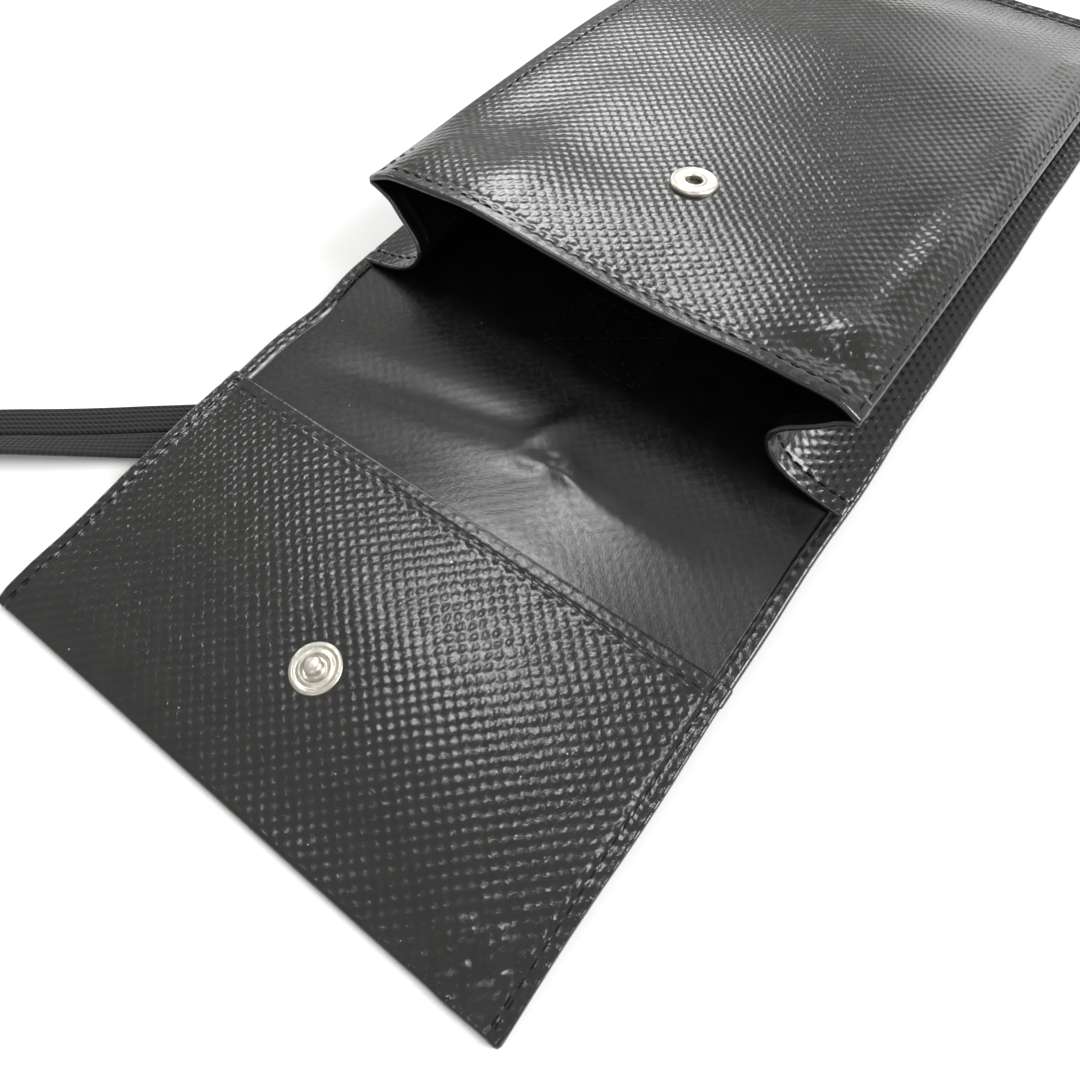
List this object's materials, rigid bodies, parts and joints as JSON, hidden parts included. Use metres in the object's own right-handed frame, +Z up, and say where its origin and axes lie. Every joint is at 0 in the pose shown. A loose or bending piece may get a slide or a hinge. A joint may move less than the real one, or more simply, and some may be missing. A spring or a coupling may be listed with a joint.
{
  "type": "neck pouch wallet",
  "caption": "Flat coated-fabric neck pouch with pleated side gussets, a lined flap with a press snap, and a braided neck cord.",
  "frame": {"origin": "centre of the footprint of the pouch with its flap open, on the surface it lies on", "axes": "+X to the right across the pouch, +Y from the flap's free edge to the bottom seam, +Z up from the back panel to the front panel"},
  "size_m": [0.235, 0.41, 0.0326],
  "materials": {
    "tarpaulin": "black coated tarpaulin, satin, with the cloth's weave embossed through it",
    "snap_metal": "nickel plated",
    "spring_wire": "drawn wire",
    "thread": "black polyester sewing thread",
    "neck_cord": "black flat braid, matt",
    "cord_tie": "black hook-and-loop band"
  },
  "bodies": {
    "root": {"back_panel": "tarpaulin", "back_side_stitching": "thread", "bottom_seam_allowance": "tarpaulin", "bottom_seam_stitching": "thread", "cord_anchor_patch": "tarpaulin", "cord_anchor_stitching": "thread", "gusset_left": "tarpaulin", "gusset_right": "tarpaulin", "neck_cord_coil": "neck_cord", "neck_cord_far_run": "neck_cord", "neck_cord_near_run": "neck_cord", "neck_cord_tie": "cord_tie"},
    "front": {"front_panel": "tarpaulin", "mouth_hem_stitching": "thread", "front_rim_stitching": "thread", "mouth_corner_tacks": "thread", "snap_socket": "snap_metal", "snap_socket_base": "snap_metal", "snap_socket_spring": "spring_wire"},
    "flap": {"flap_outer_panel": "tarpaulin", "flap_facing": "tarpaulin", "facing_hem_stitching": "thread", "flap_side_stitching": "thread", "spine_side_stitching": "thread", "flap_corner_tacks": "thread", "snap_stud": "snap_metal", "snap_stud_base": "snap_metal"}
  },
  "joints": [
    {"name": "flap_fold", "type": "hinge", "parent": "root", "child": "flap", "pos_m": [0, -0.0619, 0.00912], "axis": [-1, 0, 0], "range_deg": [0, 184.32]},
    {"name": "front_flatten", "type": "hinge", "parent": "root", "child": "front", "pos_m": [0, 0.14898, 0.00139], "axis": [1, 0, 0], "range_deg": [0, 7.28], "deforming": ["gusset_left", "gusset_right"]}
  ],
  "couplings": [
    {"joint": "front_flatten", "follows": "flap_fold", "ratio": 0.039419}
  ]
}
